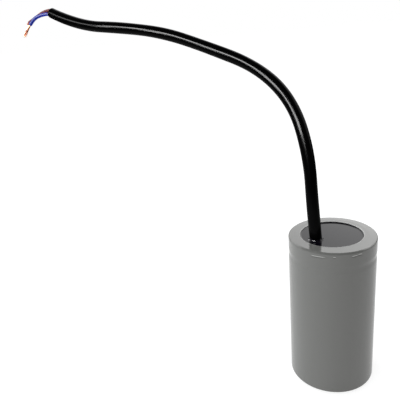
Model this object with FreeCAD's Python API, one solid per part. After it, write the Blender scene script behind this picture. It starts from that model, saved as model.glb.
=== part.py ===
import FreeCAD, Part
import math
import os

from FreeCAD import Vector

# A motor start capacitor standing on its base. Millimetres, +Z up, origin at the middle of the base.

# Body as it is seen, in its shrunk sleeve
body_diameter = 50.0
body_height = 94.0
sleeve_wall = 0.4
sleeve_top_edge = 17.5      # radius of the hole that the sleeve leaves over the resin
sleeve_base_edge = 19.0     # radius of the hole that it leaves under the base
sleeve_dip = 0.5            # how far the sleeve sinks into the can's bead
sleeve_dip_radius = 4.5

# Extruded aluminium can with a rolled bead and a curled mouth
can_wall = 0.5
can_base_wall = 0.8
can_base_corner = 1.3
curl_radius = 1.45
curl_leg = 1.2              # straight lip of the curl, pointing down into the resin
bead_drop = 11.0            # from the top of the sleeve to the middle of the bead
bead_half_width = 3.0
bead_depth = 1.2
bead_floor_radius = 1.6

# Cross scored in the base, the weak line that opens under pressure
vent_length = 24.0
vent_width = 0.6
vent_depth = 0.35

# Deck, gasket and liner, which close the can under the bead
deck_thickness = 3.0
deck_clearance = 0.1
gasket_thickness = 1.8
gasket_width = 3.2
liner_wall = 0.6
liner_clearance = 0.2
pad_thickness = 1.2

# Wound element: two foils and paper on a mandrel, closed with tape
element_clearance = 0.3
headroom = 8.6              # between the element and the deck, for the tabs
mandrel_bore = 5.0
lap_step = 0.3
tape_thickness = 0.15
tape_width = 32.0

# Terminals: a foil tab under the deck, a rivet through it and a solder lug on top
terminal_pitch = 19.0
tab_width = 6.0
tab_thickness = 0.3
tab_bend = 1.0
tab_foot_radius = 16.0      # where a tab leaves the element
rivet_shank = 3.0
rivet_flange = 6.4
rivet_flange_thickness = 1.0
rivet_head = 5.2
rivet_head_height = 1.1
washer_diameter = 6.6
washer_thickness = 0.5
lug_thickness = 0.5
lug_ring = 6.6
lug_tail_width = 3.6
lug_reach = 7.6             # from the rivet to the round end of the lug
solder_width = 3.2
solder_height = 1.7

# Potting resin
resin_drop = 0.8            # from the top of the sleeve down to the resin
meniscus_width = 0.7
skirt_width = 0.9           # resin drawn up round the cable
skirt_height = 1.0
skirt_land = 0.15
curl_air = 0.45             # the lip and the curl part here, outward of it the resin stops

# Two-core cable
cable_diameter = 7.0
core_diameter = 2.4
conductor_diameter = 1.2
core_spacing = 2.5
lead_in_height = 1.3        # middle of a lead-in core above the deck
lead_in_bend = 2.3
lead_in_strip = 4.4         # bare end of a lead-in core on its lug
free_core_lead = 2.0        # straight start of a free core out of the jacket
strand_lead = 2.0           # straight start of the bare copper out of its core

# Route of the cable from inside the resin to its cut end, with heights from the top of the body
cable_points = [
    (-8.1, -7.1, -10.0),
    (-10.5, -6.5, 16.0),
    (-12.5, -2.5, 48.5),
    (-21.5, 8.0, 75.5),
    (-41.5, 20.0, 94.0),
    (-74.0, 29.0, 107.0),
    (-101.0, 36.0, 116.5),
    (-129.5, 42.0, 121.5),
    (-165.5, 49.0, 125.5),
    (-190.5, 60.0, 136.0),
]

# Free cores beyond their straight starts, each with the end of its bare copper, from the same level
blue_core_points = [
    (-195.5, 60.2, 134.9),
    (-199.7, 59.9, 133.6),
    (-203.8, 58.9, 131.4),
    (-206.7, 57.4, 128.6),
]
blue_copper_point = (-210.3, 53.6, 121.6)
brown_core_points = [
    (-195.5, 61.7, 137.7),
    (-200.0, 62.4, 136.1),
    (-205.1, 63.4, 134.0),
    (-209.7, 64.6, 131.8),
    (-213.4, 66.6, 130.4),
]
brown_copper_point = (-218.0, 72.0, 129.4)

# Levels and radii that follow from the driving dimensions
body_radius = body_diameter / 2
can_radius = body_radius - sleeve_wall
can_inside = can_radius - can_wall
can_inner_corner = can_base_corner - can_wall
can_floor = sleeve_wall + can_base_wall
curl_top = body_height - sleeve_wall
curl_centre = (can_radius - curl_radius, curl_top - curl_radius)
bead_level = body_height - bead_drop
deck_top = bead_level - bead_half_width
deck_bottom = deck_top - deck_thickness
resin_top = body_height - resin_drop
element_base = can_floor + pad_thickness
liner_radius = can_inside - liner_clearance
element_radius = liner_radius - liner_wall - element_clearance
lug_top = deck_top + lug_thickness
element_height = deck_bottom - headroom - element_base
terminal_radius = terminal_pitch / 2


def from_top(point):
    """Point of the cable's list, in the part's own frame."""
    return Vector(point[0], point[1], point[2] + body_height)


cable_route = [from_top(point) for point in cable_points]


class Arc:
    """An edge of an outline: the short arc about its centre, on to its end."""

    def __init__(self, centre, end):
        self.centre = centre
        self.end = end


def spot(point):
    return Vector(point[0], 0, point[1])


def outline(start, *moves):
    """Face in the plane y = 0 from (radius, height) points and arcs, closed by a straight edge."""
    edges = []
    here = spot(start)
    for move in moves + (start,):
        bowed = isinstance(move, Arc)
        there = spot(move.end if bowed else move)
        if bowed:
            centre = spot(move.centre)
            middle = (here + there).multiply(0.5).sub(centre).normalize()
            middle = centre + middle.multiply(here.distanceToPoint(centre))
            edges.append(Part.Arc(here, middle, there).toShape())
        elif here.distanceToPoint(there) > 1e-6:
            edges.append(Part.LineSegment(here, there).toShape())
        here = there
    return Part.Face(Part.Wire(edges))


def turned(start, *moves):
    """Solid of revolution about Z from its half section."""
    return outline(start, *moves).revolve(Vector(0, 0, 0), Vector(0, 0, 1), 360)


def bead(radius, depth, floor_radius, inward, sense):
    """Moves along a rolled bead on a wall of this outer radius, upwards where sense is 1, down where it
    is -1. inward is 0 on the outer surface, and the wall's thickness on the inner one."""
    slope = 2 * math.atan(depth / bead_half_width)
    shoulder_radius = bead_half_width / math.sin(slope) - floor_radius
    floor_centre = (radius - depth + floor_radius, bead_level)
    reach = floor_radius + inward
    joins = []
    for side in (-sense, sense):
        join_radius = floor_centre[0] - reach * math.cos(slope)
        joins.append((join_radius, bead_level + side * reach * math.sin(slope)))
    near = bead_level - sense * bead_half_width
    far = bead_level + sense * bead_half_width
    return [
        (radius - inward, near),
        Arc((radius - shoulder_radius, near), joins[0]),
        Arc(floor_centre, joins[1]),
        Arc((radius - shoulder_radius, far), (radius - inward, far)),
    ]


def disc(radius, base, height):
    return Part.makeCylinder(radius, height, Vector(0, 0, base))


def ring(outer, inner, base, height):
    return disc(outer, base, height).cut(disc(inner, base, height))


def rounded_path(points, radius_at):
    """Wire of straight runs joined by tangent arcs. radius_at gives the arc's radius at a corner from
    the shorter of its two runs and half its turn."""
    edges = []
    radii = []
    here = points[0]
    for before, corner, after in zip(points, points[1:], points[2:]):
        back = (before - corner).normalize()
        ahead = (after - corner).normalize()
        half_turn = (math.pi - back.getAngle(ahead)) / 2
        run = min(before.distanceToPoint(corner), after.distanceToPoint(corner))
        radius = radius_at(run, half_turn)
        setback = radius * math.tan(half_turn)
        start = corner + back * setback
        end = corner + ahead * setback
        centre = corner + (back + ahead).normalize() * (radius / math.cos(half_turn))
        middle = centre + (corner - centre).normalize() * radius
        edges.append(Part.LineSegment(here, start).toShape())
        edges.append(Part.Arc(start, middle, end).toShape())
        radii.append(radius)
        here = end
    edges.append(Part.LineSegment(here, points[-1]).toShape())
    return Part.Wire(edges), radii


def tube(path, diameter):
    """Round rod along a path."""
    start = path.Edges[0].Vertexes[0].Point
    heading = path.Edges[0].tangentAt(path.Edges[0].FirstParameter)
    section = Part.Wire([Part.Circle(start, heading, diameter / 2).toShape()])
    return path.makePipeShell([section], True, False)


def loose_radius(run, half_turn):
    """The largest arc that a corner's two runs allow."""
    return 0.45 * run / math.tan(half_turn)


def rod(start, end, diameter):
    along = end - start
    return Part.makeCylinder(diameter / 2, along.Length, start, along)


# Shrunk sleeve
def make_shrink_sleeve():
    corner = can_base_corner + sleeve_wall
    inner = curl_centre[0]
    return turned(
        (sleeve_base_edge, 0),
        (body_radius - corner, 0),
        Arc((body_radius - corner, corner), (body_radius, corner)),
        *bead(body_radius, sleeve_dip, sleeve_dip_radius, 0, 1),
        (body_radius, curl_centre[1]),
        Arc(curl_centre, (inner, body_height)),
        (sleeve_top_edge, body_height),
        (sleeve_top_edge, curl_top),
        (inner, curl_top),
        Arc(curl_centre, (can_radius, curl_centre[1])),
        *bead(body_radius, sleeve_dip, sleeve_dip_radius, sleeve_wall, -1),
        (can_radius, corner),
        Arc((body_radius - corner, corner), (body_radius - corner, sleeve_wall)),
        (sleeve_base_edge, sleeve_wall),
    )


# Aluminium can
def make_aluminium_can():
    inner_curl = curl_radius - can_wall
    curl_side = curl_centre[0] - curl_radius
    leg_end = curl_centre[1] - curl_leg
    base_corner = (can_radius - can_base_corner, sleeve_wall + can_base_corner)
    floor_corner = (can_inside - can_inner_corner, can_floor + can_inner_corner)
    shell = turned(
        (0, sleeve_wall),
        (base_corner[0], sleeve_wall),
        Arc(base_corner, (can_radius, base_corner[1])),
        *bead(can_radius, bead_depth, bead_floor_radius, 0, 1),
        (can_radius, curl_centre[1]),
        Arc(curl_centre, (curl_centre[0], curl_top)),
        Arc(curl_centre, (curl_side, curl_centre[1])),
        (curl_side, leg_end),
        (curl_side + can_wall, leg_end),
        (curl_side + can_wall, curl_centre[1]),
        Arc(curl_centre, (curl_centre[0], curl_centre[1] + inner_curl)),
        Arc(curl_centre, (can_inside, curl_centre[1])),
        *bead(can_radius, bead_depth, bead_floor_radius, can_wall, -1),
        (can_inside, floor_corner[1]),
        Arc(floor_corner, (floor_corner[0], can_floor)),
        (0, can_floor),
    )
    for angle in (45, 135):
        shell = shell.cut(make_score(angle))
    return shell


def make_score(angle):
    """One V-shaped line of the cross in the base, turned by the angle."""
    groove = Part.makePolygon([
        Vector(-vent_length / 2, -vent_width / 2, sleeve_wall),
        Vector(-vent_length / 2, vent_width / 2, sleeve_wall),
        Vector(-vent_length / 2, 0, sleeve_wall + vent_depth),
        Vector(-vent_length / 2, -vent_width / 2, sleeve_wall),
    ])
    wedge = Part.Face(groove).extrude(Vector(vent_length, 0, 0))
    wedge.rotate(Vector(0, 0, 0), Vector(0, 0, 1), angle)
    return wedge


# Closure under the bead
def make_can_bore():
    """The hollow of the can, up past its mouth."""
    return turned(
        (0, can_floor),
        (can_inside, can_floor),
        *bead(can_radius, bead_depth, bead_floor_radius, can_wall, 1),
        (can_inside, body_height),
        (0, body_height),
    )


def make_deck_gasket(bore):
    """Rubber ring, squeezed by the bead above its outer edge."""
    blank = ring(can_inside, can_inside - gasket_width, deck_top, gasket_thickness)
    return blank.common(bore)


def make_deck_disc():
    deck = disc(can_inside - deck_clearance, deck_bottom, deck_thickness)
    for angle in terminal_angles.values():
        x, y = polar(terminal_radius, angle)
        deck = deck.cut(Part.makeCylinder(rivet_shank / 2, deck_thickness, Vector(x, y, deck_bottom)))
    return deck


def make_can_liner():
    return ring(liner_radius, liner_radius - liner_wall, element_base, deck_bottom - element_base)


def make_bottom_pad():
    """Card disc, chamfered to clear the can's inner corner."""
    edge = liner_radius - can_inner_corner
    return turned(
        (0, can_floor),
        (edge, can_floor),
        (liner_radius, can_floor + can_inner_corner),
        (liner_radius, can_floor + pad_thickness),
        (0, can_floor + pad_thickness),
    )


# Wound element
def lap_outline(radius, base):
    """Outline of a roll whose last turn ends in a step: two half circles, one a little smaller."""
    small = radius - lap_step / 2
    centre = -lap_step / 2
    upper = Part.Arc(Vector(radius, 0, base), Vector(0, radius, base), Vector(-radius, 0, base)).toShape()
    lower = Part.Arc(
        Vector(-radius, 0, base), Vector(centre, -small, base), Vector(centre + small, 0, base)).toShape()
    step = Part.LineSegment(Vector(centre + small, 0, base), Vector(radius, 0, base)).toShape()
    return Part.Face(Part.Wire([upper, lower, step]))


def make_wound_element():
    roll = lap_outline(element_radius, element_base).extrude(Vector(0, 0, element_height))
    return roll.cut(disc(mandrel_bore / 2, element_base, element_height))


def make_closing_tape():
    base = element_base + (element_height - tape_width) / 2
    outer = lap_outline(element_radius + tape_thickness, base).extrude(Vector(0, 0, tape_width))
    return outer.cut(lap_outline(element_radius, base).extrude(Vector(0, 0, tape_width)))


# Terminals
def polar(radius, angle):
    return radius * math.cos(math.radians(angle)), radius * math.sin(math.radians(angle))


cable_angle = math.degrees(math.atan2(cable_route[0][1], cable_route[0][0]))
terminal_angles = {"blue": cable_angle - 90, "brown": cable_angle + 90}


def at_terminal(shape, angle):
    """Shape drawn about the origin with +X outward, moved to the terminal at the angle."""
    x, y = polar(terminal_radius, angle)
    shape.rotate(Vector(0, 0, 0), Vector(0, 0, 1), angle)
    shape.translate(Vector(x, y, 0))
    return shape


def make_foil_tab(angle):
    """Strip from the top of the element, bent in under the deck and holed for the rivet."""
    foot = tab_foot_radius - terminal_radius
    top = deck_bottom
    base = element_base + element_height
    inner_end = -tab_width / 2
    strip = outline(
        (foot, base),
        (foot, top - tab_bend),
        Arc((foot - tab_bend, top - tab_bend), (foot - tab_bend, top)),
        (inner_end, top),
        (inner_end, top - tab_thickness),
        (foot - tab_bend, top - tab_thickness),
        Arc((foot - tab_bend, top - tab_bend), (foot - tab_thickness, top - tab_bend)),
        (foot - tab_thickness, base),
    )
    strip.translate(Vector(0, -tab_width / 2, 0))
    tab = strip.extrude(Vector(0, tab_width, 0))
    tab = tab.cut(disc(rivet_shank / 2, top - tab_thickness, tab_thickness))
    return at_terminal(tab, angle)


def make_rivet(angle):
    """Flange under the tab, shank through the deck, and a domed head over the washer."""
    flange_base = deck_bottom - tab_thickness - rivet_flange_thickness
    head_base = lug_top + washer_thickness
    dome = (rivet_head ** 2 / 4 + rivet_head_height ** 2) / (2 * rivet_head_height)
    rivet = turned(
        (0, flange_base),
        (rivet_flange / 2, flange_base),
        (rivet_flange / 2, flange_base + rivet_flange_thickness),
        (rivet_shank / 2, flange_base + rivet_flange_thickness),
        (rivet_shank / 2, head_base),
        (rivet_head / 2, head_base),
        Arc((0, head_base + rivet_head_height - dome), (0, head_base + rivet_head_height)),
    )
    return at_terminal(rivet, angle)


def make_rivet_washer(angle):
    return at_terminal(ring(washer_diameter / 2, rivet_shank / 2, lug_top, washer_thickness), angle)


def cable_heading():
    return (cable_route[1] - cable_route[0]).normalize()


def lead_in_turn(angle):
    """Where a core leaves the jacket's end inside the resin, and where it turns level over the deck."""
    heading = cable_heading()
    aside = Vector(*polar(1, angle), 0)
    aside = (aside - heading * aside.dot(heading)).normalize()
    start = cable_route[0] + aside * (core_spacing / 2)
    level = deck_top + lead_in_height
    return start, start - heading * ((start.z - level) / heading.z)


def lug_heading(angle):
    """Direction of a lug, from its rivet towards its core, as an angle."""
    x, y = polar(terminal_radius, angle)
    start, turn = lead_in_turn(angle)
    return math.degrees(math.atan2(turn.y - y, turn.x - x))


def make_solder_lug(angle):
    """Tinned ring with a round-ended tail that points at the cable."""
    tail_end = lug_reach - lug_tail_width / 2
    tail = Part.makeBox(tail_end, lug_tail_width, lug_thickness, Vector(0, -lug_tail_width / 2, deck_top))
    tip = Part.makeCylinder(lug_tail_width / 2, lug_thickness, Vector(tail_end, 0, deck_top))
    lug = disc(lug_ring / 2, deck_top, lug_thickness).fuse([tail, tip]).removeSplitter()
    lug = lug.cut(disc(rivet_shank / 2, deck_top, lug_thickness))
    return at_terminal(turn_about_z(lug, lug_heading(angle) - angle), angle)


def turn_about_z(shape, angle):
    shape.rotate(Vector(0, 0, 0), Vector(0, 0, 1), angle)
    return shape


def lug_point(angle, reach, height):
    """Point over a lug, at a distance from its rivet."""
    x, y = polar(terminal_radius, angle)
    dx, dy = polar(reach, lug_heading(angle))
    return Vector(x + dx, y + dy, height)


def make_solder_joint(angle, wire):
    """Low dome of solder on the tail of a lug, round the bare wire."""
    dome = (solder_width ** 2 / 4 + solder_height ** 2) / (2 * solder_height)
    joint = turned(
        (0, lug_top),
        (solder_width / 2, lug_top),
        Arc((0, lug_top + solder_height - dome), (0, lug_top + solder_height)),
    )
    joint.translate(lug_point(angle, lug_reach - lug_tail_width / 2, 0))
    return joint.cut(wire)


# Cable
def make_lead_in(angle):
    """A core inside the resin, out of the jacket's end, down, and along to its lug."""
    start, turn = lead_in_turn(angle)
    path, radii = rounded_path([start, turn, strip_point(angle, 1)], lambda run, half_turn: lead_in_bend)
    return tube(path, core_diameter)


def strip_point(angle, side):
    """End of the bare wire on a lug: by the insulation where side is 1, by the rivet where it is -1."""
    middle = lug_reach - lug_tail_width / 2
    return lug_point(angle, middle + side * lead_in_strip / 2, deck_top + lead_in_height)


def make_lead_in_wire(angle):
    return rod(strip_point(angle, 1), strip_point(angle, -1), conductor_diameter)


def make_cable_jacket():
    path, radii = rounded_path(cable_route, loose_radius)
    jacket = tube(path, cable_diameter)
    plain = math.pi * cable_diameter ** 2 / 4 * path.Length
    print("cable length %.1f, arc radii %s" % (path.Length, [round(r) for r in radii]))
    print("cable volume %.1f, section times length %.1f" % (jacket.Volume, plain))
    return jacket


def free_core_start(side):
    """Where a free core leaves the cut end of the jacket: one core above the other."""
    end = cable_route[-1]
    heading = (end - cable_route[-2]).normalize()
    upward = Vector(0, 0, 1) - heading * heading.z
    start = end + upward.normalize() * (side * core_spacing / 2)
    return start, start + heading * free_core_lead


def make_free_core(side, points):
    points = list(free_core_start(side)) + [from_top(point) for point in points]
    path, radii = rounded_path(points, loose_radius)
    print("free core length %.1f, arc radii %s" % (path.Length, [round(r, 1) for r in radii]))
    return tube(path, core_diameter)


def make_strands(core_points, end):
    """Bare copper at the end of a free core, as one plain rod."""
    before, start = [from_top(point) for point in core_points[-2:]]
    heading = (start - before).normalize()
    path, radii = rounded_path([start, start + heading * strand_lead, from_top(end)], loose_radius)
    return tube(path, conductor_diameter)


# Potting resin
def make_resin_blank():
    """Resin as it would be with nothing in it, with its edge drawn up to the sleeve."""
    rise = curl_top - resin_top
    bow = (meniscus_width ** 2 + rise ** 2) / (2 * rise)
    flat = sleeve_top_edge - meniscus_width
    outer = curl_centre[0] - curl_air
    return turned(
        (0, deck_top),
        (can_inside, deck_top),
        (can_inside, curl_centre[1]),
        (outer, curl_centre[1]),
        (outer, curl_top),
        (sleeve_top_edge, curl_top),
        Arc((flat, resin_top + bow), (flat, resin_top)),
        (0, resin_top),
    )


def make_resin_skirt():
    """Resin drawn up round the cable where it comes out."""
    heading = cable_heading()
    root = cable_route[0]
    root = root + heading * ((resin_top - root.z) / heading.z)
    foot = cable_diameter / 2 + skirt_width
    top = cable_diameter / 2 + skirt_land
    width = foot - top
    bow = (width ** 2 + skirt_height ** 2) / (2 * skirt_height)
    skirt = turned(
        (0, -skirt_land),
        (foot, -skirt_land),
        (foot, 0),
        Arc((foot, bow), (top, skirt_height)),
        (0, skirt_height),
    )
    skirt.translate(root)
    return skirt


def make_potting_resin(bore, others):
    resin = make_resin_blank().common(bore).fuse(make_resin_skirt()).removeSplitter()
    for other in others:
        resin = resin.cut(other)
    return resin


def build():
    parts = {}
    bore = make_can_bore()
    parts["shrink_sleeve"] = make_shrink_sleeve()
    parts["aluminium_can"] = make_aluminium_can()
    parts["bottom_pad"] = make_bottom_pad()
    parts["can_liner"] = make_can_liner()
    parts["wound_element"] = make_wound_element()
    parts["closing_tape"] = make_closing_tape()
    parts["deck_disc"] = make_deck_disc()
    parts["deck_gasket"] = make_deck_gasket(bore)
    parts["cable_jacket"] = make_cable_jacket()
    for colour, angle in terminal_angles.items():
        wire = make_lead_in_wire(angle)
        parts[colour + "_foil_tab"] = make_foil_tab(angle)
        parts[colour + "_rivet"] = make_rivet(angle)
        parts[colour + "_rivet_washer"] = make_rivet_washer(angle)
        parts[colour + "_solder_lug"] = make_solder_lug(angle)
        parts[colour + "_lead_in"] = make_lead_in(angle)
        parts[colour + "_lead_in_wire"] = wire
        parts[colour + "_solder_joint"] = make_solder_joint(angle, wire)
    sunk = [name for name in parts if "_rivet" in name or "_solder" in name or "_lead_in" in name]
    sunk += ["aluminium_can", "deck_gasket", "cable_jacket"]
    parts["potting_resin"] = make_potting_resin(bore, [parts[name] for name in sunk])
    parts["blue_core"] = make_free_core(-1, blue_core_points)
    parts["brown_core"] = make_free_core(1, brown_core_points)
    parts["blue_strands"] = make_strands(blue_core_points, blue_copper_point)
    parts["brown_strands"] = make_strands(brown_core_points, brown_copper_point)
    return parts


def main():
    os.makedirs("parts", exist_ok=True)
    for name, shape in build().items():
        solids = len(shape.Solids)
        print("%-20s %d solid, %9.2f mm3, valid %s" % (name, solids, shape.Volume, shape.isValid()))
        shape.exportStep(os.path.join("parts", name + ".step"))


main()
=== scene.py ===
import math

import bpy
from mathutils import Matrix, Vector


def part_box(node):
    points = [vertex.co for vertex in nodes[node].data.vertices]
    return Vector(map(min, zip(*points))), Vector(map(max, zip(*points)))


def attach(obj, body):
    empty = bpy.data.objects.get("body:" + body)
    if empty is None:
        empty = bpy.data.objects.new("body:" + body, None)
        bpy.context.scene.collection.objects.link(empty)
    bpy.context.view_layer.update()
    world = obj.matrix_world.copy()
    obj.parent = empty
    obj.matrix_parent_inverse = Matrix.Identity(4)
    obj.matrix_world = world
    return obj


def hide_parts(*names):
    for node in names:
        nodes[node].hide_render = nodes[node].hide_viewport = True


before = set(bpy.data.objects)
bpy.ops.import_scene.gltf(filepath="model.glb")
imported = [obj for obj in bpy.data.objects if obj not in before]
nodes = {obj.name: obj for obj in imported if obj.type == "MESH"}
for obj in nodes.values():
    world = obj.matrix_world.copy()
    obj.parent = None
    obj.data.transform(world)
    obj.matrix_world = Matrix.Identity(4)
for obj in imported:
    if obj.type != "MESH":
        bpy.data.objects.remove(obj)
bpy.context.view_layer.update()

# A motor start capacitor in its shrunk sleeve, with a two-core cable potted into its top. Metres.
MM = 0.001
touching = 1e-6                 # points closer than this are one

# Sleeve, in millimetres from the middle of the base
body_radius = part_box("shrink_sleeve")[1].x / MM
body_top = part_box("shrink_sleeve")[1].z / MM
film = 0.4                      # thickness of the sleeve
base_corner = 1.7
base_lip = 19.0
top_lip = 17.5
curl_radius = 1.85              # outside of the film over the can's curled mouth
curl_level = body_top - curl_radius
curl_side = body_radius - curl_radius
rim_radius = 1.2                # the film's own rounding, once it has shrunk
rim_drop = 0.25                 # how far the ring slopes down towards its rim
flat_ring = 20.5
ring_sink = 0.08                # how far the flat ring lies under the lip's edge
lip_rise = 0.9                  # width of the rise to that edge
lip_draw = 1.0                  # how far the lip is drawn back on one side
lip_draw_angle = math.radians(-147)
bead_drop = 11.0
bead_level = body_top - bead_drop
bead_half_width = 3.0
bead_dip = 0.27
cut_round = 0.12
swell_scale = 60.0              # noise scales of the film, per metre
patch_scale = 90.0
pleat_run = 60.0                # how fast the pleats change along the radius, per metre
lip_scale = 1.6                 # noise scale of the lips, over the outward direction
fold_glint_low, fold_glint_high = 0.07, 0.16  # heights at which a fold's ridge starts to get its painted highlight, and gets it in full

# Potting resin
resin_drop = 0.8
resin_top = body_top - resin_drop
meniscus_width = 0.9
meniscus_share = 0.98           # share of the way up to the film that the resin climbs
deck_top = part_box("deck_disc")[1].z / MM
pool_foot = deck_top + 0.05
film_under = body_top - film - 0.01
pool_wall = [                   # (height, radius) from under the film down the can's mouth to the deck
    (film_under, top_lip + 0.6),
    (film_under, 21.5),
    (body_top - 1.0, 21.62),
    (90.8, 21.62),
    (90.6, 23.9),
    (86.2, 23.95),
    (84.0, 22.8),
    (82.0, 22.7),
    (81.9, 20.8),
    (pool_foot, 20.75),
    (pool_foot, 0.0),
]
skirt_under = 0.35              # how far the skirt round the cable reaches under the resin's level
skirt_root = 1.0                # how far its path starts under that level
skirt_bore = 3.1
skirt_foot = 4.6
skirt_height = 1.15
skirt_neck = 3.58               # radius at its top
skirt_spread = 0.95             # how much wider it is at the resin
skirt_power = 2.2

# Cable, with the points of its solid. Its cut end, 1 mm further back, and its cores follow the photo
cable_radius = 3.5
jacket_bore = 2.5
filler_depth = 1.3
core_radius = 1.2
core_bore = 0.74
bore_bevel = (0.08, 0.05)       # depth and width of the bevel at a hollow end
core_offset = 1.25
core_root = filler_depth + 0.5  # how far a core's path starts inside the jacket's end
core_lead = 2.0                 # straight start of a core out of the jacket
copper_root = 3.0               # how far the strands start inside their core's end
copper_lead = 1.6               # straight start of the strands out of their core
cable_route = [
    (-8.1, -7.1, 84.0),
    (-10.5, -6.5, 110.0),
    (-12.5, -2.5, 142.5),
    (-21.5, 8.0, 169.5),
    (-41.5, 20.0, 188.0),
    (-74.0, 29.0, 201.0),
    (-101.0, 36.0, 210.5),
    (-129.5, 42.0, 215.5),
    (-165.5, 49.0, 219.5),
    (-189.7, 59.8, 229.5),
]
blue_route = [(-195.4, 60.4, 229.3), (-199.9, 60.3, 228.7), (-204.4, 59.4, 227.2), (-207.3, 57.5, 223.1)]
blue_copper_end = (-210.7, 53.6, 215.8)
brown_route = [
    (-196.4, 62.9, 231.1),
    (-200.4, 63.9, 230.1),
    (-204.5, 64.5, 228.4),
    (-208.7, 65.3, 226.6),
    (-213.3, 66.4, 224.9),
]
brown_copper_end = (-218.2, 71.9, 224.1)


# Node trees
def add(tree, kind, inputs=None, **settings):
    """New node in a tree, with its settings, and with a value or a link for each input named."""
    node = tree.nodes.new(kind)
    for name, value in settings.items():
        setattr(node, name, value)
    for key, value in (inputs or {}).items():
        socket = node.inputs[key]
        if isinstance(value, bpy.types.NodeSocket):
            tree.links.new(value, socket)
        else:
            socket.default_value = value
    return node


def calc(tree, operation, *values):
    """Result of a Math node."""
    return add(tree, "ShaderNodeMath", dict(enumerate(values)), operation=operation).outputs[0]


def times(tree, *values):
    """Product of numbers."""
    product = values[0]
    for value in values[1:]:
        product = calc(tree, "MULTIPLY", product, value)
    return product


def plus(tree, first, second):
    """Sum of two numbers."""
    return calc(tree, "ADD", first, second)


def minus(tree, first, second):
    """First number less the second."""
    return calc(tree, "SUBTRACT", first, second)


def bell(tree, value):
    """1 where a value is 0, falling softly to 0 on both sides."""
    return calc(tree, "EXPONENT", times(tree, times(tree, value, value), -1.0))


def vector_calc(tree, operation, *values):
    """Result of a Vector Math node."""
    node = add(tree, "ShaderNodeVectorMath", operation=operation)
    for socket, value in zip(node.inputs, values):
        if isinstance(value, bpy.types.NodeSocket):
            tree.links.new(value, socket)
        else:
            socket.default_value = value
    return node.outputs["Value" if operation == "LENGTH" else "Vector"]


def scaled(tree, vector, factor):
    """A vector times a number."""
    return add(tree, "ShaderNodeVectorMath", {0: vector, 3: factor}, operation="SCALE").outputs[0]


def ramp(tree, value, low, high, to_low=0.0, to_high=1.0):
    """Value carried from one range to another, with soft ends."""
    node = add(tree, "ShaderNodeMapRange", {
        "Value": value,
        "From Min": low,
        "From Max": high,
        "To Min": to_low,
        "To Max": to_high,
    }, interpolation_type="SMOOTHSTEP")
    return node.outputs["Result"]


def noise(tree, vector, scale, detail=2.0, roughness=0.5):
    """Noise from 0 to 1."""
    node = add(tree, "ShaderNodeTexNoise", {
        "Vector": vector,
        "Scale": scale,
        "Detail": detail,
        "Roughness": roughness,
    })
    return node.outputs[0]


def choose(tree, share, first, second):
    """Number between two others."""
    return add(tree, "ShaderNodeMix", {0: share, 2: first, 3: second}).outputs[0]


def blend(tree, share, first, second):
    """Colour between two others."""
    return add(tree, "ShaderNodeMix", {0: share, 6: first, 7: second}, data_type="RGBA").outputs[2]


def new_group(name, kind, inputs, outputs):
    """Empty node group with named inputs and outputs, and its two end nodes."""
    tree = bpy.data.node_groups.new(name, kind)
    for label, socket_type, value in inputs:
        socket = tree.interface.new_socket(name=label, in_out="INPUT", socket_type=socket_type)
        if value is not None:
            socket.default_value = value
    for label, socket_type in outputs:
        tree.interface.new_socket(name=label, in_out="OUTPUT", socket_type=socket_type)
    return tree, tree.nodes.new("NodeGroupInput").outputs, tree.nodes.new("NodeGroupOutput")


def new_shape_group(name, inputs):
    """Geometry Nodes group that starts and ends with a geometry."""
    shape = ("Geometry", "NodeSocketGeometry")
    return new_group(name, "GeometryNodeTree", [(*shape, None), *inputs], [shape])


def end_shape(tree, given, end, geometry):
    """Real geometry with its material, at the end of a tree."""
    real = add(tree, "GeometryNodeRealizeInstances", {"Geometry": geometry})
    done = add(tree, "GeometryNodeSetMaterial", {"Geometry": real.outputs[0], "Material": given["Material"]})
    tree.links.new(done.outputs[0], end.inputs[0])


def named(tree, label):
    """Number stored at the points under a name."""
    return add(tree, "GeometryNodeInputNamedAttribute", {"Name": label}, data_type="FLOAT").outputs[0]


def store(tree, geometry, label, value):
    """Geometry with a number stored at its points under a name."""
    return add(tree, "GeometryNodeStoreNamedAttribute", {
        "Geometry": geometry, "Name": label, "Value": value}, data_type="FLOAT", domain="POINT").outputs[0]


def sample(tree, geometry, index, value, data_type):
    """Value at one point of a geometry."""
    return add(tree, "GeometryNodeSampleIndex", {
        "Geometry": geometry, "Value": value, "Index": index}, data_type=data_type).outputs[0]


def moved(tree, geometry, offset):
    """Geometry whose points are moved by an offset."""
    return add(tree, "GeometryNodeSetPosition", {"Geometry": geometry, "Offset": offset}).outputs[0]


def turn_from(tree, place, angle):
    """Angle of a place about the body's axis, from a given one, between half a turn each way."""
    turn = minus(tree, calc(tree, "ARCTAN2", place["Y"], place["X"]), angle)
    return calc(tree, "WRAP", turn, math.pi, -math.pi)


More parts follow.
